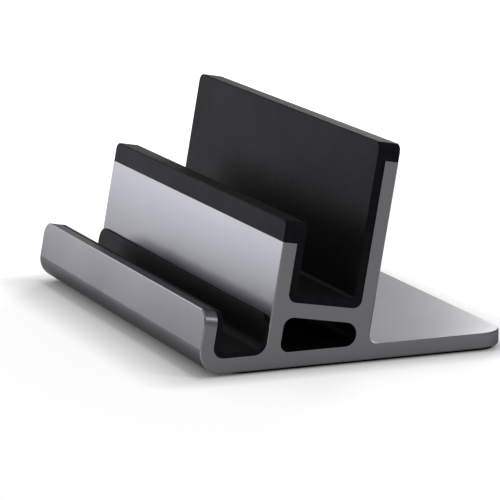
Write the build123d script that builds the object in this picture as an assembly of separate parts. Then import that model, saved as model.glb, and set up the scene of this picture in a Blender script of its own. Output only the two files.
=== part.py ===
from build123d import *

import os
from math import cos, radians, sin, tan

# Vertical laptop stand: one aluminium extrusion with two leaning slots, a silicone liner in
# each slot and a silicone pad under the base. Millimetres and degrees.
# X runs along the slots, +Y from the front lip to the tail, +Z up. The origin is on the
# table, in the middle of the footprint. The whole profile leans back: the lip, the mid wall
# and the back wall are parallel, and the rear slot's floor is square to them.

# The extrusion
length = 165.0
lean = 10.0
wall = 5.0
base_thickness = 5.3
front_slot = 18.3
rear_slot = 27.0
lip_height = 15.7
rear_floor_rise = 18.3
rear_slot_depth = 27.0
back_rise = 29.7
tail_length = 52.8

# Rounded corners and broken edges of the metal
nose_radius = 7.5
lip_corner_radius = 5.0
tail_corner_radius = 10.0
foot_radius = 3.0
front_slot_lip_radius = 3.5
front_slot_wall_radius = 4.5
rear_slot_radius = 3.0
tunnel_top_radius = 3.6
tunnel_bottom_radius = 2.8
edge_break = 0.4

# Silicone caps on the two tall walls, which hold on to a thin tongue of metal
mid_cap_height = 7.2
back_cap_height = 6.1
cap_corner_radius = 2.8
tongue_thickness = 2.2
tongue_height = 3.6
tongue_setback = 8.0

# Silicone liners
rear_liner_thickness = 3.0
rear_liner_slot_radius = 1.5
front_liner_thickness = 1.6
front_liner_back_thickness = 1.2
front_liner_height = 12.8
front_liner_corner_radius = 5.0
liner_end_inset = 0.2
silicone_edge_radius = 0.5

# Silicone pad under the base
pad_thickness = 1.0
pad_inset = 2.0
pad_corner_radius = 8.0

# Places across the profile, measured square to the walls from the mid wall's front face
lip_inner = -front_slot
lip_outer = lip_inner - wall
mid_back = wall
back_front = mid_back + rear_slot
back_outer = back_front + wall

# Heights of the level faces
metal_bottom = pad_thickness
base_top = metal_bottom + base_thickness

# Heights along the mid wall's front face, measured from the base's top face
lip_top = lip_inner * tan(radians(lean)) + lip_height
rear_floor = rear_floor_rise
tunnel_top = rear_floor - wall
mid_top = rear_floor + rear_slot_depth
mid_metal_top = mid_top - mid_cap_height
back_top = mid_top + back_rise
back_metal_top = back_top - back_cap_height

lean_cos = cos(radians(lean))
lean_sin = sin(radians(lean))

# The mid wall's foot stands where the footprint comes out centred on the origin
nose_reach = (lip_outer + nose_radius + (nose_radius - base_thickness) * lean_sin) / lean_cos - nose_radius
tail_reach = back_outer / lean_cos + tail_length
mid_foot = -(nose_reach + tail_reach) / 2
tail = mid_foot + tail_reach


def leaning(across, up):
    """Point of the profile at a place across the walls and a height along them."""
    return (
        mid_foot + across * lean_cos + up * lean_sin,
        base_top - across * lean_sin + up * lean_cos,
    )


def at_level(across, z):
    """Point of the profile where a leaning face line passes a level height."""
    return (mid_foot + (across + (z - base_top) * lean_sin) / lean_cos, z)


def profile(corners):
    """Face across the stand from its corners, each a point and the radius that rounds it."""
    points = [point for point, radius in corners]
    radii = [radius for point, radius in corners]
    return Plane.YZ * make_face(FilletPolyline(*points, radius=radii, close=True))


def along_slots(face, span):
    """Solid that carries a profile along the slots, centred on the stand."""
    return extrude(face, amount=span / 2, both=True)


def nearest_edge(shape, x, point):
    """Edge of a shape that passes nearest to a point of the profile at x."""
    return shape.edges().sort_by_distance((x, *point))[0]


def round_ends(shape, span, point, radius):
    """Shape with the top corner at each end of a wall rounded, seen from the front."""
    ends = [nearest_edge(shape, side * span / 2, point) for side in (-1, 1)]
    return fillet(ends, radius)


def soften(shape, rims):
    """Silicone with small rounds along its rims, which run on round the ends of the piece."""
    edges = [nearest_edge(shape, 0, rim) for rim in rims]
    return fillet(edges, silicone_edge_radius)


def tongue(across, up):
    """Thin rib that stands on top of a wall and stops short of both ends."""
    middle = across + wall / 2
    low = up - edge_break
    high = up + tongue_height
    half = tongue_thickness / 2
    corners = [
        (leaning(middle - half, low), 0),
        (leaning(middle + half, low), 0),
        (leaning(middle + half, high), 0),
        (leaning(middle - half, high), 0),
    ]
    return along_slots(profile(corners), length - 2 * tongue_setback)


def tongues():
    """Both tongues: on the mid wall and on the back wall."""
    return tongue(0, mid_metal_top) + tongue(back_front, back_metal_top)


def tunnel_face():
    """Profile of the tunnel under the rear slot, fully round at its back end."""
    low_corner = at_level(back_front, base_top)
    high_corner = leaning(back_front, tunnel_top)
    end_height = (high_corner[1] - low_corner[1]) / lean_cos
    end_radius = 0.96 * end_height / (1 + tan(radians(45 - lean / 2)))
    corners = [
        (at_level(mid_back, base_top), tunnel_bottom_radius),
        (low_corner, end_radius),
        (high_corner, end_radius),
        (leaning(mid_back, tunnel_top), tunnel_top_radius),
    ]
    return profile(corners)


def extrusion_face():
    """Outline of the extrusion, without its tunnel, anticlockwise from the nose."""
    corners = [
        (at_level(lip_outer, metal_bottom), nose_radius),
        ((tail, metal_bottom), 0),
        ((tail, base_top), 0),
        (at_level(back_outer, base_top), foot_radius),
        (leaning(back_outer, back_metal_top), 0),
        (leaning(back_front, back_metal_top), 0),
        (leaning(back_front, rear_floor), rear_slot_radius),
        (leaning(mid_back, rear_floor), rear_slot_radius),
        (leaning(mid_back, mid_metal_top), 0),
        (leaning(0, mid_metal_top), 0),
        (at_level(0, base_top), front_slot_wall_radius),
        (at_level(lip_inner, base_top), front_slot_lip_radius),
        (leaning(lip_inner, lip_top), 0),
        (leaning(lip_outer, lip_top), 0),
    ]
    return profile(corners)


def break_edges(body):
    """Metal with a fine chamfer along each rim that no silicone covers.

    Each chosen edge carries its chamfer on round the corners that continue it: the lip's rim
    runs on under the nose and round the base's underside, and the tail's runs up the back wall.
    """
    edges = [
        nearest_edge(body, 0, leaning(lip_outer, lip_top)),
        nearest_edge(body, 0, (tail, base_top)),
        nearest_edge(body, -length / 2, leaning(0, mid_metal_top / 2)),
        nearest_edge(body, length / 2, leaning(0, mid_metal_top / 2)),
    ]
    return chamfer(edges, edge_break)


def make_body():
    """Aluminium extrusion: base, lip, mid wall, slot floor, back wall and tunnel."""
    body = along_slots(extrusion_face() - tunnel_face(), length)
    body = round_ends(body, length, leaning(lip_inner - wall / 2, lip_top), lip_corner_radius)
    tail_corners = [
        nearest_edge(body, side * length / 2, (tail, metal_bottom + base_thickness / 2))
        for side in (-1, 1)
    ]
    body = fillet(tail_corners, tail_corner_radius)
    return break_edges(body) + tongues()


def make_rear_liner():
    """Silicone in one piece: cap of the mid wall, rear slot's lining and cap of the back wall."""
    mid_skin = mid_back + rear_liner_thickness
    back_skin = back_front - rear_liner_thickness
    floor_skin = rear_floor + rear_liner_thickness
    corners = [
        (leaning(0, mid_metal_top), 0),
        (leaning(0, mid_top), 0),
        (leaning(mid_skin, mid_top), 0),
        (leaning(mid_skin, floor_skin), rear_liner_slot_radius),
        (leaning(back_skin, floor_skin), rear_liner_slot_radius),
        (leaning(back_skin, back_top), 0),
        (leaning(back_outer, back_top), 0),
        (leaning(back_outer, back_metal_top), 0),
        (leaning(back_front, back_metal_top), 0),
        (leaning(back_front, rear_floor), rear_slot_radius),
        (leaning(mid_back, rear_floor), rear_slot_radius),
        (leaning(mid_back, mid_metal_top), 0),
    ]
    span = length - 2 * liner_end_inset
    liner = along_slots(profile(corners), span)
    liner = round_ends(liner, span, leaning(mid_skin / 2, mid_top), cap_corner_radius)
    back_cap_middle = (back_skin + back_outer) / 2
    liner = round_ends(liner, span, leaning(back_cap_middle, back_top), cap_corner_radius)
    rims = [leaning(0, mid_top), leaning(mid_skin, mid_top), leaning(back_outer, back_top)]
    return soften(liner, rims) - tongues()


def make_front_liner():
    """Silicone trough in the front slot, up to the lip's top and part of the way up the mid wall."""
    lip_skin = lip_inner + front_liner_thickness
    wall_skin = -front_liner_back_thickness
    floor_skin = base_top + front_liner_thickness
    corners = [
        (leaning(lip_inner, lip_top), 0),
        (at_level(lip_inner, base_top), front_slot_lip_radius),
        (at_level(0, base_top), front_slot_wall_radius),
        (leaning(0, front_liner_height), 0),
        (leaning(wall_skin, front_liner_height), 0),
        (at_level(wall_skin, floor_skin), front_slot_wall_radius - front_liner_back_thickness),
        (at_level(lip_skin, floor_skin), front_slot_lip_radius - front_liner_thickness),
        (leaning(lip_skin, lip_top), 0),
    ]
    span = length - 2 * liner_end_inset
    liner = along_slots(profile(corners), span)
    lip_side = leaning(lip_inner + front_liner_thickness / 2, lip_top)
    wall_side = leaning(wall_skin / 2, front_liner_height)
    liner = round_ends(liner, span, lip_side, lip_corner_radius - liner_end_inset)
    liner = round_ends(liner, span, wall_side, front_liner_corner_radius)
    return soften(liner, [leaning(wall_skin, front_liner_height)])


def make_base_pad():
    """Flat silicone pad that the metal stands on."""
    front = at_level(lip_outer, metal_bottom)[0] + nose_radius / tan(radians(45 - lean / 2)) + pad_inset
    back = tail - pad_inset
    outline = RectangleRounded(length - 2 * pad_inset, back - front, pad_corner_radius)
    return extrude(Pos(0, (front + back) / 2) * outline, amount=pad_thickness)


def main():
    pieces = {
        "body": make_body(),
        "rear_liner": make_rear_liner(),
        "front_liner": make_front_liner(),
        "base_pad": make_base_pad(),
    }
    os.makedirs("parts", exist_ok=True)
    for name, piece in pieces.items():
        export_step(piece, f"parts/{name}.step")


main()
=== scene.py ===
from math import cos, radians, sin, tan

import bmesh
import bpy
from bpy.props import FloatProperty, FloatVectorProperty, PointerProperty
from mathutils import Matrix, Vector
from mathutils.bvhtree import BVHTree


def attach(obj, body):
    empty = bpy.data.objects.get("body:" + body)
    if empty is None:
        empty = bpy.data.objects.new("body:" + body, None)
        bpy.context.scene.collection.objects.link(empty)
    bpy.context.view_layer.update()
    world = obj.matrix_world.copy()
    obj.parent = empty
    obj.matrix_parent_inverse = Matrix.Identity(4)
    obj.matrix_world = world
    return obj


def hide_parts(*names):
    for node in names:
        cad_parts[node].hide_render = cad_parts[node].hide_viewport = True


bl_info = {
    "name": "Vertical laptop stand",
    "version": (1, 0, 0),
    "blender": (4, 5, 0),
    "location": "3D View > Sidebar > Laptop stand",
    "description": "Dresses the laptop stand: anodised metal, moulded silicone, light and camera",
    "category": "Object",
}

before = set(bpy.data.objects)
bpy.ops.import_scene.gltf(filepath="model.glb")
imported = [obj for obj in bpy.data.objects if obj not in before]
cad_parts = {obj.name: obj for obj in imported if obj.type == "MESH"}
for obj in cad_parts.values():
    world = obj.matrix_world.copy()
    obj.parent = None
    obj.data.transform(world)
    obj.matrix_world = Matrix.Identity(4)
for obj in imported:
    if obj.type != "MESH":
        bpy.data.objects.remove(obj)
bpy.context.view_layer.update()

MM = 0.001

# Meshes: the angle past which an edge counts as sharp, how near an edge is to the metal that
# it lies against, and how near two points are that count as one
SHARP_ANGLE = radians(35)
TOUCHING = 0.25 * MM
SAME_POINT = 0.002 * MM

# Grains to the metre in the patterns of the finishes
BLASTED_GRAIN = 3400
METAL_SPECKLE = 1300
METAL_CLOUD = 34
DIE_LINES = 900
MOULD_TEXTURE = 2600
SILICONE_MOTTLE = 420
SILICONE_CLOUD = 46
LINT = 210
FLOOR_CLOUD = 3

# Machined rims: how far in from the end faces they lie, how much of their facing is along the
# slots, for the lip's front rim how far it faces forward and up and where the lip ends, and how
# much smoother than the rest they all are
RIM_REACH = 0.42 * MM
RIM_ALONG_MIN = 0.3
RIM_ALONG_MAX = 0.93
RIM_FORWARD = -0.3
RIM_UPWARD = 0.5
LIP_BACK = -40 * MM
RIM_POLISH = 0.06

# Floor: how its lift to white grows with the distance from the stand's footprint, first over
# the near reach and then over the far one. Near the stand, where the lift is weak, the floor is
# painted darker, a painted shadow round the stand. Distance counts more past the ends than in
# front, so this painted shadow reaches further in front and behind than past the ends.
PAINTED_SHADE_STRETCH = (1.35, 0.8, 1)
PAINTED_SHADE_NEAR_REACH = 2 * MM
PAINTED_SHADE_FAR_REACH = 18 * MM
PAINTED_SHADE_LIFT_AT_STAND = 0.03
LIFT_NEAR = 0.16
LIFT_FAR = 0.3

# Softboxes: azimuth and elevation of the place in degrees, distance, width and height in
# metres, watts, colour
WHITE = (1.0, 1.0, 1.0)
COOL = (0.955, 0.96, 1.0)
LAMPS = (
    ("left strip", 298, 6, 1.2, 0.3, 0.24, 2.4, COOL),
    ("left strip, near part", 305, 4, 0.75, 0.2, 0.1, 0.52, COOL),
    ("left strip, far part", 284, 4, 0.75, 0.2, 0.1, 0.17, COOL),
    ("near end", 128, 40, 1.2, 0.24, 0.2, 1.4, WHITE),
    ("far end", 230, 13, 1.2, 0.4, 0.34, 4.5, WHITE),
    ("far end, left part", 238, 13, 1.2, 0.4, 0.34, 1.05, WHITE),
    ("rims", 273, 26, 1.2, 0.4, 0.34, 1.0, COOL),
)
LAMP_TARGET = Vector((0, 0, 20 * MM))


def millimetres(name, value, description):
    """Property that holds a length, with its default in millimetres."""
    return FloatProperty(
        name=name, description=description, default=value * MM, min=0, unit="LENGTH"
    )


def degrees(name, value, description):
    """Property that holds an angle, with its default in degrees."""
    return FloatProperty(
        name=name, description=description, default=radians(value), unit="ROTATION"
    )


def portion(name, value, description):
    """Property between 0 and 1."""
    return FloatProperty(
        name=name, description=description, default=value, min=0, max=1, subtype="FACTOR"
    )


def colour(name, value, description):
    """Property that holds a colour, as the shader reads it."""
    return FloatVectorProperty(
        name=name, description=description, default=(*value, 1.0),
        size=4, min=0, max=1, subtype="COLOR",
    )


class StandSizes(bpy.types.PropertyGroup):
    """Sizes of the profile that carries the silicone, the same as in the solids"""

    length: millimetres("Length", 165, "Length of the metal along the slots")
    lean: degrees("Lean", 10, "Angle that the walls lean back")
    wall: millimetres("Wall", 5, "Thickness of the metal walls")
    base_thickness: millimetres("Base thickness", 5.3, "Thickness of the metal base")
    front_slot: millimetres("Front slot", 18.3, "Width of the front slot between metal faces")
    rear_slot: millimetres("Rear slot", 27, "Width of the rear slot between metal faces")
    lip_height: millimetres("Lip height", 15.7, "Height of the front lip along its inner face")
    rear_floor: millimetres("Rear floor", 18.3, "Height of the rear slot's metal floor")
    rear_depth: millimetres("Rear slot depth", 27, "From the metal floor to the mid cap's top")
    back_rise: millimetres("Back rise", 29.7, "From the mid cap's top to the back cap's")
    tail_length: millimetres("Tail length", 52.8, "Length of the base behind the back wall")
    nose_radius: millimetres("Nose radius", 7.5, "Round under the front lip")


class StandSilicone(bpy.types.PropertyGroup):
    """Sizes of the moulded silicone pieces"""

    mid_cap: millimetres("Mid cap", 7.2, "Height of the silicone on top of the mid wall")
    back_cap: millimetres("Back cap", 6.1, "Height of the silicone on top of the back wall")
    cap_corner: millimetres("Cap corner", 2.8, "Radius at both ends of the caps")
    rear_skin: millimetres("Rear liner", 3, "Thickness of the rear liner")
    rear_outer_round: millimetres("Rear outer round", 3, "Round on the metal floor's side")
    rear_inner_round: millimetres("Rear inner round", 1.5, "Round at the foot of the lined slot")
    front_skin: millimetres("Front liner", 1.6, "Thickness on the lip and the slot's floor")
    front_back_skin: millimetres("Front liner's back", 1.2, "Thickness on the mid wall")
    front_height: millimetres("Front liner height", 12.8, "Height up the mid wall")
    front_lip_round: millimetres("Front round, lip", 3.5, "Round of the metal at the lip's foot")
    front_wall_round: millimetres("Front round, wall", 4.5, "Round at the mid wall's foot")
    front_corner: millimetres("Front liner corner", 5, "Radius at both ends of its rims")
    end_inset: millimetres("End inset", 0.2, "From the metal's end faces to the silicone's")
    soft_edge: millimetres("Soft edge", 0.5, "Round of the silicone's open rims")
    pad_thickness: millimetres("Pad thickness", 1, "Thickness of the pad under the base")
    pad_inset: millimetres("Pad inset", 2, "From the metal's sides to the pad's")
    pad_corner: millimetres("Pad corner", 8, "Radius of the pad's corners, seen from above")
    pad_border: millimetres("Pad border", 3, "Flat border round the field in its underside")
    pad_slope: millimetres("Pad slope", 0.3, "Width of the slope round that field")
    pad_recess: millimetres("Pad recess", 0.25, "Depth of that field")


class StandFinish(bpy.types.PropertyGroup):
    """Colours and surface of the finishes"""

    metal_colour: colour("Metal", (0.13, 0.13, 0.138), "Space-grey anodised aluminium")
    metal_rim_colour: colour("Metal rims", (0.24, 0.24, 0.252), "Machined rims")
    metal_grazing: colour("Metal at a slant", (0.5, 0.5, 0.5), "Tint of slanting reflections")
    metal_roughness: portion("Metal roughness", 0.31, "Middle roughness of the blasted metal")
    silicone_colour: colour("Silicone", (0.0068, 0.007, 0.0079), "Black moulded silicone")
    silicone_shine_colour: colour("Silicone shine", (0.8, 0.84, 1.0), "Tint of its reflections")
    silicone_shine: portion("Silicone shine", 0.04, "Strength of the silicone's reflections")
    silicone_roughness: portion("Silicone roughness", 0.63, "Middle roughness of the silicone")
    pad_colour: colour("Pad", (0.004, 0.004, 0.0043), "Black silicone of the pad")
    floor_colour: colour("Floor", (0.88, 0.88, 0.88), "Plain pale floor")
    floor_roughness: portion("Floor roughness", 0.9, "Roughness of the floor")


class StandStage(bpy.types.PropertyGroup):
    """Camera, floor and room light"""

    azimuth: degrees("Azimuth", 67.762, "Direction of the camera, 0 in front of the lip")
    elevation: degrees("Elevation", 11.798, "Height of the camera above the horizon")
    distance: millimetres("Distance", 1173.5, "From the camera to the point it looks at")
    look_at: FloatVectorProperty(
        name="Look at", description="Point in the middle of the picture",
        default=(-0.00542, -0.00306, 0.02235), size=3, subtype="XYZ", unit="LENGTH",
    )
    focal_length: FloatProperty(
        name="Focal length", description="Lens on a sensor 36 mm wide",
        default=235.18, unit="CAMERA",
    )
    floor_size: millimetres("Floor", 12000, "Side of the square floor")
    room_light: portion("Room light", 0.5, "Strength of the even light from all round")


class Profile:
    """Places on the stand's profile, across the slots.

    Across is measured square to the walls from the mid wall's front face, and up along that
    face from the base's top.
    """

    def __init__(self, sizes, silicone):
        self.lean = sizes.lean
        self.base_top = silicone.pad_thickness + sizes.base_thickness
        self.lip_inner = -sizes.front_slot
        self.lip_outer = self.lip_inner - sizes.wall
        self.mid_back = sizes.wall
        self.back_front = self.mid_back + sizes.rear_slot
        self.back_outer = self.back_front + sizes.wall
        self.lip_top = self.lip_inner * tan(self.lean) + sizes.lip_height
        self.mid_top = sizes.rear_floor + sizes.rear_depth
        self.back_top = self.mid_top + sizes.back_rise
        rise = sizes.nose_radius - sizes.base_thickness
        nose = (self.lip_outer + sizes.nose_radius + rise * sin(self.lean)) / cos(self.lean)
        tail = self.back_outer / cos(self.lean) + sizes.tail_length
        self.foot = -(nose - sizes.nose_radius + tail) / 2
        self.tail = self.foot + tail

    def leaning(self, across, up):
        """Point at a place across the walls and a height along them."""
        return Vector((
            0,
            self.foot + across * cos(self.lean) + up * sin(self.lean),
            self.base_top - across * sin(self.lean) + up * cos(self.lean),
        ))

    def at_level(self, across, z):
        """Point where a leaning face line passes a level height."""
        above = (z - self.base_top) * sin(self.lean)
        return Vector((0, self.foot + (across + above) / cos(self.lean), z))


def extrusion(bm, corners, length):
    """Solid that carries a closed row of corners along the slots, centred on the stand."""
    outline = [bm.verts.new(corner - Vector((length / 2, 0, 0))) for corner in corners]
    rim = [bm.edges.new((outline[i - 1], outline[i])) for i in range(len(outline))]
    end = bmesh.ops.edgeloop_fill(bm, edges=rim)["faces"]
    grown = bmesh.ops.extrude_face_region(bm, geom=end, use_keep_orig=True)
    moved = [item for item in grown["geom"] if isinstance(item, bmesh.types.BMVert)]
    bmesh.ops.translate(bm, verts=moved, vec=(length, 0, 0))
    bmesh.ops.recalc_face_normals(bm, faces=bm.faces)


def middle(edge):
    """Middle of an edge."""
    return (edge.verts[0].co + edge.verts[1].co) / 2


def nearest_edge(bm, point):
    """Edge whose middle is nearest to a point."""
    return min(bm.edges, key=lambda edge: (middle(edge) - point).length)


def bevel(bm, edges, reach, segments):
    """Rounds edges, from a reach back along the faces beside them."""
    bmesh.ops.bevel(
        bm, geom=edges, offset=reach, offset_type="OFFSET", segments=segments, profile=0.5,
        affect="EDGES", clamp_overlap=True, material=-1,
    )


def round_edges(bm, edges, radius, segments):
    """Rounds edges to a radius, whatever angle their faces meet at."""
    bevel(bm, edges, radius * tan(edges[0].calc_face_angle() / 2), segments)


def round_run(bm, point, radius, segments):
    """Rounds the corner of the profile that runs along the slots through a point."""
    round_edges(bm, [nearest_edge(bm, point)], radius, segments)


def round_ends(bm, point, length, radius):
    """Rounds the top corner at each end of a wall, seen from the front."""
    for side in (-1, 1):
        end = nearest_edge(bm, point + Vector((side * length / 2, 0, 0)))
        round_edges(bm, [end], radius, segments=7)


def soften_rims(bm, radius):
    """Rounds the sharp edges that stand clear of the metal."""
    metal = metal_surface()
    clear = []
    for edge in bm.edges:
        sharp = edge.calc_face_angle(0) > SHARP_ANGLE
        if sharp and metal.find_nearest(middle(edge))[3] > TOUCHING:
            clear.append(edge)
    bevel(bm, clear, radius, segments=3)


def metal_surface():
    """Search tree of the metal body, to tell which edges of the silicone lie against it."""
    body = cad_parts["body"].data
    points = [vertex.co for vertex in body.vertices]
    return BVHTree.FromPolygons(points, [polygon.vertices for polygon in body.polygons])


def finish_piece(bm, name, node, material):
    """Object from a shaped mesh that stands for a solid, with smooth faces and its finish."""
    bmesh.ops.remove_doubles(bm, verts=bm.verts, dist=SAME_POINT)
    bmesh.ops.recalc_face_normals(bm, faces=bm.faces)
    for edge in bm.edges:
        edge.smooth = edge.calc_face_angle(0) < SHARP_ANGLE
    for face in bm.faces:
        face.smooth = True
    mesh = bpy.data.meshes.new(name)
    bm.to_mesh(mesh)
    bm.free()
    mesh.materials.append(material)
    piece = bpy.data.objects.new(name, mesh)
    bpy.context.scene.collection.objects.link(piece)
    shading = piece.modifiers.new("flat faces stay flat", "WEIGHTED_NORMAL")
    shading.keep_sharp = True
    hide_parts(node)
    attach(piece, "root")


class Finish:
    """Material under way, with short ways to add and join its nodes."""

    def __init__(self, name):
        self.material = bpy.data.materials.new(name)
        self.material.use_nodes = True
        self.tree = self.material.node_tree
        self.shader = self.tree.nodes["Principled BSDF"]
        self.place = self.tree.nodes.new("ShaderNodeTexCoord").outputs

    def node(self, kind, inputs=None, **settings):
        """New node; inputs are values or other nodes' outputs, by socket name or number."""
        node = self.tree.nodes.new("ShaderNode" + kind)
        for name, value in settings.items():
            setattr(node, name, value)
        for name, value in (inputs or {}).items():
            self.feed(node.inputs[name], value)
        return node

    def feed(self, socket, value):
        """Sets a socket to a value, or joins an output to it."""
        if isinstance(value, bpy.types.NodeSocket):
            self.tree.links.new(value, socket)
        else:
            socket.default_value = value

    def stretched(self, scale):
        """Object coordinates, stretched along an axis."""
        return self.node("Mapping", {"Vector": self.place["Object"], "Scale": scale}).outputs[0]

    def noise(self, scale, detail=2.0, vector=None):
        """Noise of a number of grains to the metre."""
        place = vector or self.place["Object"]
        return self.node("TexNoise", {"Vector": place, "Scale": scale, "Detail": detail}).outputs[0]

    def ramp(self, value, low, high, to_low=0.0, to_high=1.0):
        """Value carried from one range to another, and held at its ends."""
        inputs = {"Value": value, "From Min": low, "From Max": high}
        inputs.update({"To Min": to_low, "To Max": to_high})
        return self.node("MapRange", inputs).outputs[0]

    def math(self, operation, first, second=0.0):
        """Sum, product or other step on two values."""
        return self.node("Math", {0: first, 1: second}, operation=operation).outputs[0]

    def vector(self, operation, first, second=(0, 0, 0)):
        """Difference, product or other step on two vectors."""
        return self.node("VectorMath", {0: first, 1: second}, operation=operation).outputs[0]

    def length(self, vector):
        """Length of a vector."""
        return self.node("VectorMath", {0: vector}, operation="LENGTH").outputs["Value"]

    def parts(self, vector):
        """X, Y and Z of a vector, by name."""
        return self.node("SeparateXYZ", {0: vector}).outputs

    def mix(self, factor, first, second):
        """Colour between two colours."""
        node = self.node("MixRGB")
        self.feed(node.inputs["Fac"], factor)
        self.feed(node.inputs["Color1"], first)
        self.feed(node.inputs["Color2"], second)
        return node.outputs["Color"]

    def bump(self, height, distance, strength, below=None):
        """Relief from a height, on top of another relief."""
        inputs = {"Height": height, "Distance": distance, "Strength": strength}
        if below:
            inputs["Normal"] = below
        return self.node("Bump", inputs).outputs[0]

    def set(self, **sockets):
        """Feeds the shader's own sockets, with underscores for spaces."""
        for name, value in sockets.items():
            self.feed(self.shader.inputs[name.replace("_", " ")], value)


def tint(base, gain):
    """Colour made lighter or darker."""
    return (base[0] * gain, base[1] * gain, base[2] * gain, 1.0)


def anodised_aluminium(finish, sizes):
    """Space-grey anodised aluminium: blasted grain, faint die lines and bright machined rims."""
    metal = Finish("anodised_aluminium")
    base = finish.metal_colour
    grain = metal.noise(BLASTED_GRAIN, detail=3.0)
    speckle = metal.noise(METAL_SPECKLE)
    cloud = metal.noise(METAL_CLOUD)
    lines = metal.noise(DIE_LINES, vector=metal.stretched((0.012, 1, 1)))
    rims = machined_rims(metal, sizes)

    tone = metal.mix(metal.ramp(cloud, 0.3, 0.7), tint(base, 0.965), tint(base, 1.035))
    tone = metal.mix(metal.ramp(speckle, 0.32, 0.68, 0.0, 0.16), tone, tint(base, 1.4))
    tone = metal.mix(metal.ramp(grain, 0.62, 0.8, 0.0, 0.3), tone, tint(base, 1.8))
    even = metal.math("MULTIPLY", metal.math("ADD", speckle, cloud), 0.5)
    low = finish.metal_roughness - 0.035
    high = finish.metal_roughness + 0.035
    blasted = metal.ramp(even, 0.35, 0.65, low, high)
    drawn = metal.bump(lines, 0.003 * MM, 0.1)
    metal.set(
        Metallic=1.0,
        Specular_Tint=tuple(finish.metal_grazing),
        Base_Color=metal.mix(rims, tone, tuple(finish.metal_rim_colour)),
        Roughness=metal.math("SUBTRACT", blasted, metal.math("MULTIPLY", rims, RIM_POLISH)),
        Normal=metal.bump(grain, 0.004 * MM, 0.15, drawn),
    )
    return metal.material


def machined_rims(metal, sizes):
    """Mask of the fine chamfers round both end faces and along the lip, by place and facing."""
    turn = metal.parts(metal.place["Normal"])
    spot = metal.parts(metal.place["Object"])
    along = metal.math("ABSOLUTE", turn["X"])
    out = metal.math("ABSOLUTE", spot["X"])
    at_end = metal.math("GREATER_THAN", out, sizes.length / 2 - RIM_REACH)
    off_side = metal.math("GREATER_THAN", along, RIM_ALONG_MIN)
    off_end = metal.math("LESS_THAN", along, RIM_ALONG_MAX)
    end_rims = metal.math("MULTIPLY", at_end, metal.math("MULTIPLY", off_side, off_end))
    forward = metal.math("LESS_THAN", turn["Y"], RIM_FORWARD)
    upward = metal.math("GREATER_THAN", turn["Z"], RIM_UPWARD)
    on_lip = metal.math("LESS_THAN", spot["Y"], LIP_BACK)
    lip_rim = metal.math("MULTIPLY", metal.math("MULTIPLY", forward, upward), on_lip)
    return metal.math("MAXIMUM", end_rims, lip_rim)


def black_silicone(name, finish, base):
    """Black moulded silicone: fine matte texture, faint clouds and a little lint."""
    skin = Finish(name)
    texture = skin.noise(MOULD_TEXTURE, detail=3.0)
    mottle = skin.noise(SILICONE_MOTTLE)
    cloud = skin.noise(SILICONE_CLOUD)
    specks = skin.node("TexVoronoi", {"Vector": skin.place["Object"], "Scale": LINT})
    lint = skin.ramp(specks.outputs["Distance"], 0.05, 0.03)
    tone = skin.mix(skin.ramp(mottle, 0.3, 0.7), tint(base, 0.8), tint(base, 1.25))
    low = finish.silicone_roughness - 0.015
    high = finish.silicone_roughness + 0.015
    skin.set(
        Base_Color=skin.mix(skin.math("MULTIPLY", lint, 0.5), tone, tint(base, 5.0)),
        Roughness=skin.ramp(cloud, 0.3, 0.7, low, high),
        Specular_IOR_Level=finish.silicone_shine,
        Specular_Tint=tuple(finish.silicone_shine_colour),
        Normal=skin.bump(texture, 0.015 * MM, 0.2, skin.bump(mottle, 0.015 * MM, 0.12)),
    )
    return skin.material


def white_floor_painted_shade(finish, half_footprint):
    """Plain pale floor that keeps the shadow, lifted to white by its distance from the stand, so
    that it is painted darker round the stand.
    """
    floor = Finish("floor")
    base = finish.floor_colour
    # Painted shadow: the lift is weaker near the footprint, so the floor is darker round the stand,
    # to the camera and in reflections alike.
    beside = floor.vector("ABSOLUTE", floor.place["Object"])
    beyond = floor.vector("MAXIMUM", floor.vector("SUBTRACT", beside, half_footprint))
    away = floor.length(floor.vector("MULTIPLY", beyond, PAINTED_SHADE_STRETCH))
    near = floor.ramp(away, 0, PAINTED_SHADE_NEAR_REACH, PAINTED_SHADE_LIFT_AT_STAND, LIFT_NEAR)
    far = floor.ramp(away, PAINTED_SHADE_NEAR_REACH, PAINTED_SHADE_FAR_REACH, 0, LIFT_FAR)
    ray = floor.node("LightPath").outputs
    seen = floor.math("MAXIMUM", ray["Is Camera Ray"], ray["Is Glossy Ray"])
    seen = floor.math("MAXIMUM", seen, ray["Is Transmission Ray"])
    floor.set(
        Base_Color=floor.mix(floor.noise(FLOOR_CLOUD), tint(base, 0.995), tint(base, 1.005)),
        Roughness=finish.floor_roughness,
        Emission_Color=(1, 1, 1, 1),
        Emission_Strength=floor.math("MULTIPLY", seen, floor.math("ADD", near, far)),
    )
    return floor.material


class STAND_OT_metal_body(bpy.types.Operator):
    """Give the extrusion its anodised finish"""

    bl_idname = "stand.metal_body"
    bl_label = "Metal body"

    def execute(self, context):
        scene = context.scene
        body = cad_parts["body"].data
        body.materials.clear()
        body.materials.append(anodised_aluminium(scene.stand_finish, scene.stand_sizes))
        return {"FINISHED"}


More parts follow.
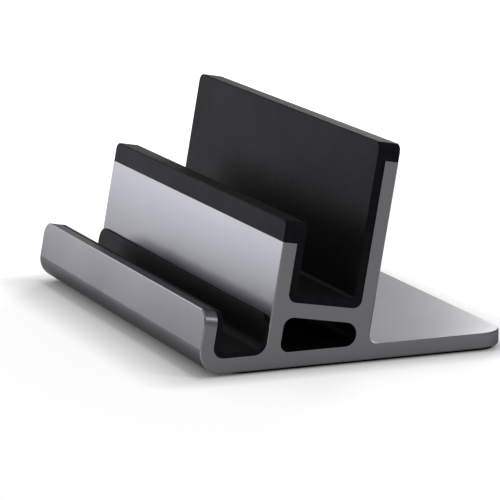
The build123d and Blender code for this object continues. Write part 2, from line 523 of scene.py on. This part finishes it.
class STAND_OT_rear_liner(bpy.types.Operator):
    """Mould the liner of the rear slot, with the caps of the mid wall and the back wall"""

    bl_idname = "stand.rear_liner"
    bl_label = "Rear liner"

    def execute(self, context):
        sizes = context.scene.stand_sizes
        silicone = context.scene.stand_silicone
        finish = context.scene.stand_finish
        place = Profile(sizes, silicone)
        length = sizes.length - 2 * silicone.end_inset
        mid_skin = place.mid_back + silicone.rear_skin
        back_skin = place.back_front - silicone.rear_skin
        floor_skin = sizes.rear_floor + silicone.rear_skin
        mid_metal = place.mid_top - silicone.mid_cap
        back_metal = place.back_top - silicone.back_cap
        inner_mid = place.leaning(mid_skin, floor_skin)
        inner_back = place.leaning(back_skin, floor_skin)
        outer_back = place.leaning(place.back_front, sizes.rear_floor)
        outer_mid = place.leaning(place.mid_back, sizes.rear_floor)
        bm = bmesh.new()
        extrusion(bm, [
            place.leaning(0, mid_metal),
            place.leaning(0, place.mid_top),
            place.leaning(mid_skin, place.mid_top),
            inner_mid,
            inner_back,
            place.leaning(back_skin, place.back_top),
            place.leaning(place.back_outer, place.back_top),
            place.leaning(place.back_outer, back_metal),
            place.leaning(place.back_front, back_metal),
            outer_back,
            outer_mid,
            place.leaning(place.mid_back, mid_metal),
        ], length)
        round_run(bm, inner_mid, silicone.rear_inner_round, segments=5)
        round_run(bm, inner_back, silicone.rear_inner_round, segments=5)
        round_run(bm, outer_back, silicone.rear_outer_round, segments=7)
        round_run(bm, outer_mid, silicone.rear_outer_round, segments=7)
        mid_cap = place.leaning(mid_skin / 2, place.mid_top)
        back_cap = place.leaning((back_skin + place.back_outer) / 2, place.back_top)
        round_ends(bm, mid_cap, length, silicone.cap_corner)
        round_ends(bm, back_cap, length, silicone.cap_corner)
        soften_rims(bm, silicone.soft_edge)
        material = black_silicone("black_silicone_rear", finish, finish.silicone_colour)
        finish_piece(bm, "rear_liner_moulding", "rear_liner", material)
        return {"FINISHED"}


class STAND_OT_front_liner(bpy.types.Operator):
    """Mould the trough that lines the front slot"""

    bl_idname = "stand.front_liner"
    bl_label = "Front liner"

    def execute(self, context):
        sizes = context.scene.stand_sizes
        silicone = context.scene.stand_silicone
        finish = context.scene.stand_finish
        place = Profile(sizes, silicone)
        length = sizes.length - 2 * silicone.end_inset
        lip_skin = place.lip_inner + silicone.front_skin
        wall_skin = -silicone.front_back_skin
        floor_skin = place.base_top + silicone.front_skin
        outer_lip = place.at_level(place.lip_inner, place.base_top)
        outer_wall = place.at_level(0, place.base_top)
        inner_wall = place.at_level(wall_skin, floor_skin)
        inner_lip = place.at_level(lip_skin, floor_skin)
        bm = bmesh.new()
        extrusion(bm, [
            place.leaning(place.lip_inner, place.lip_top),
            outer_lip,
            outer_wall,
            place.leaning(0, silicone.front_height),
            place.leaning(wall_skin, silicone.front_height),
            inner_wall,
            inner_lip,
            place.leaning(lip_skin, place.lip_top),
        ], length)
        inner_wall_round = silicone.front_wall_round - silicone.front_back_skin
        inner_lip_round = silicone.front_lip_round - silicone.front_skin
        round_run(bm, outer_lip, silicone.front_lip_round, segments=7)
        round_run(bm, outer_wall, silicone.front_wall_round, segments=8)
        round_run(bm, inner_wall, inner_wall_round, segments=7)
        round_run(bm, inner_lip, inner_lip_round, segments=6)
        lip_rim = place.leaning((place.lip_inner + lip_skin) / 2, place.lip_top)
        wall_rim = place.leaning(wall_skin / 2, silicone.front_height)
        round_ends(bm, lip_rim, length, silicone.front_corner - silicone.end_inset)
        round_ends(bm, wall_rim, length, silicone.front_corner)
        soften_rims(bm, silicone.soft_edge)
        material = black_silicone("black_silicone_front", finish, finish.silicone_colour)
        finish_piece(bm, "front_liner_moulding", "front_liner", material)
        return {"FINISHED"}


class STAND_OT_base_pad(bpy.types.Operator):
    """Mould the pad that the metal stands on, with a shallow field in its underside"""

    bl_idname = "stand.base_pad"
    bl_label = "Base pad"

    def execute(self, context):
        sizes = context.scene.stand_sizes
        silicone = context.scene.stand_silicone
        finish = context.scene.stand_finish
        place = Profile(sizes, silicone)
        thickness = silicone.pad_thickness
        nose_reach = sizes.nose_radius / tan(radians(45) - sizes.lean / 2)
        front = place.at_level(place.lip_outer, thickness).y + nose_reach + silicone.pad_inset
        back = place.tail - silicone.pad_inset
        size = (sizes.length - 2 * silicone.pad_inset, back - front, thickness)
        bm = bmesh.new()
        bmesh.ops.create_cube(bm, size=1)
        bmesh.ops.scale(bm, verts=bm.verts, vec=size)
        bmesh.ops.translate(bm, verts=bm.verts, vec=(0, (front + back) / 2, thickness / 2))
        upright = []
        for edge in bm.edges:
            if abs(edge.verts[0].co.z - edge.verts[1].co.z) > thickness / 2:
                upright.append(edge)
        round_edges(bm, upright, silicone.pad_corner, segments=10)
        under = min(bm.faces, key=lambda face: face.calc_center_median().z)
        for width, depth in ((silicone.pad_border, 0), (silicone.pad_slope, silicone.pad_recess)):
            bmesh.ops.inset_region(
                bm, faces=[under], thickness=width, depth=-depth, use_even_offset=True
            )
        material = black_silicone("pad_silicone", finish, finish.pad_colour)
        finish_piece(bm, "base_pad_moulding", "base_pad", material)
        return {"FINISHED"}


class STAND_OT_stage(bpy.types.Operator):
    """Set up the floor, the lights and the camera"""

    bl_idname = "stand.stage"
    bl_label = "Stage"

    def execute(self, context):
        scene = context.scene
        self.make_camera(scene, scene.stand_stage)
        self.make_floor(scene, scene.stand_stage)
        self.make_world(scene, scene.stand_stage)
        self.make_lights(scene)
        scene.view_settings.view_transform = "Standard"
        return {"FINISHED"}

    def make_camera(self, scene, stage):
        """Camera at the photograph's angle."""
        data = bpy.data.cameras.new("camera")
        data.lens = stage.focal_length
        data.clip_start = 0.01
        data.clip_end = 50
        camera = bpy.data.objects.new("camera", data)
        around = Matrix.Rotation(stage.azimuth, 4, "Z")
        above = Matrix.Rotation(radians(90) - stage.elevation, 4, "X")
        away = Matrix.Translation((0, 0, stage.distance))
        camera.matrix_world = Matrix.Translation(stage.look_at) @ around @ above @ away
        scene.collection.objects.link(camera)
        scene.camera = camera

    def make_floor(self, scene, stage):
        """Square floor, whose lift to white starts at the stand's footprint and leaves painted
        shade round it.
        """
        bm = bmesh.new()
        bmesh.ops.create_grid(bm, x_segments=1, y_segments=1, size=stage.floor_size / 2)
        mesh = bpy.data.meshes.new("floor")
        bm.to_mesh(mesh)
        bm.free()
        place = Profile(scene.stand_sizes, scene.stand_silicone)
        half_footprint = (scene.stand_sizes.length / 2, place.tail, 0)
        mesh.materials.append(white_floor_painted_shade(scene.stand_finish, half_footprint))
        floor = bpy.data.objects.new("floor", mesh)
        scene.collection.objects.link(floor)

    def make_world(self, scene, stage):
        """Even white light from all round."""
        world = bpy.data.worlds.new("studio")
        world.use_nodes = True
        background = world.node_tree.nodes["Background"]
        background.inputs["Color"].default_value = (1, 1, 1, 1)
        background.inputs["Strength"].default_value = stage.room_light
        scene.world = world

    def make_lights(self, scene):
        """Rectangular softboxes that face the stand."""
        for name, azimuth, elevation, distance, width, height, power, tone in LAMPS:
            around = radians(azimuth)
            above = radians(elevation)
            out = Vector((sin(around) * cos(above), -cos(around) * cos(above), sin(above)))
            data = bpy.data.lights.new(name, "AREA")
            data.shape = "RECTANGLE"
            data.size = width
            data.size_y = height
            data.energy = power
            data.color = tone
            lamp = bpy.data.objects.new(name, data)
            lamp.location = out * distance
            facing = LAMP_TARGET - lamp.location
            lamp.rotation_euler = facing.to_track_quat("-Z", "Y").to_euler()
            scene.collection.objects.link(lamp)


class STAND_PT_panel(bpy.types.Panel):
    """Sizes, finishes and steps of the laptop stand"""

    bl_idname = "STAND_PT_panel"
    bl_label = "Laptop stand"
    bl_space_type = "VIEW_3D"
    bl_region_type = "UI"
    bl_category = "Laptop stand"

    def draw(self, context):
        for name, group in GROUPS.items():
            box = self.layout.box()
            for item in group.__annotations__:
                box.prop(getattr(context.scene, name), item)
        for step in STEPS:
            self.layout.operator(step.bl_idname)


STEPS = (
    STAND_OT_metal_body,
    STAND_OT_rear_liner,
    STAND_OT_front_liner,
    STAND_OT_base_pad,
    STAND_OT_stage,
)
GROUPS = {
    "stand_sizes": StandSizes,
    "stand_silicone": StandSilicone,
    "stand_finish": StandFinish,
    "stand_stage": StandStage,
}
CLASSES = (*GROUPS.values(), *STEPS, STAND_PT_panel)


def register():
    """Adds the classes, and the settings to each scene."""
    for item in CLASSES:
        bpy.utils.register_class(item)
    for name, group in GROUPS.items():
        setattr(bpy.types.Scene, name, PointerProperty(type=group))


def unregister():
    """Takes the settings and the classes away again."""
    for name in GROUPS:
        delattr(bpy.types.Scene, name)
    for item in reversed(CLASSES):
        bpy.utils.unregister_class(item)


def main():
    """Builds the whole scene in order."""
    register()
    bpy.ops.stand.metal_body()
    bpy.ops.stand.rear_liner()
    bpy.ops.stand.front_liner()
    bpy.ops.stand.base_pad()
    bpy.ops.stand.stage()


if __name__ == "__main__":
    main()
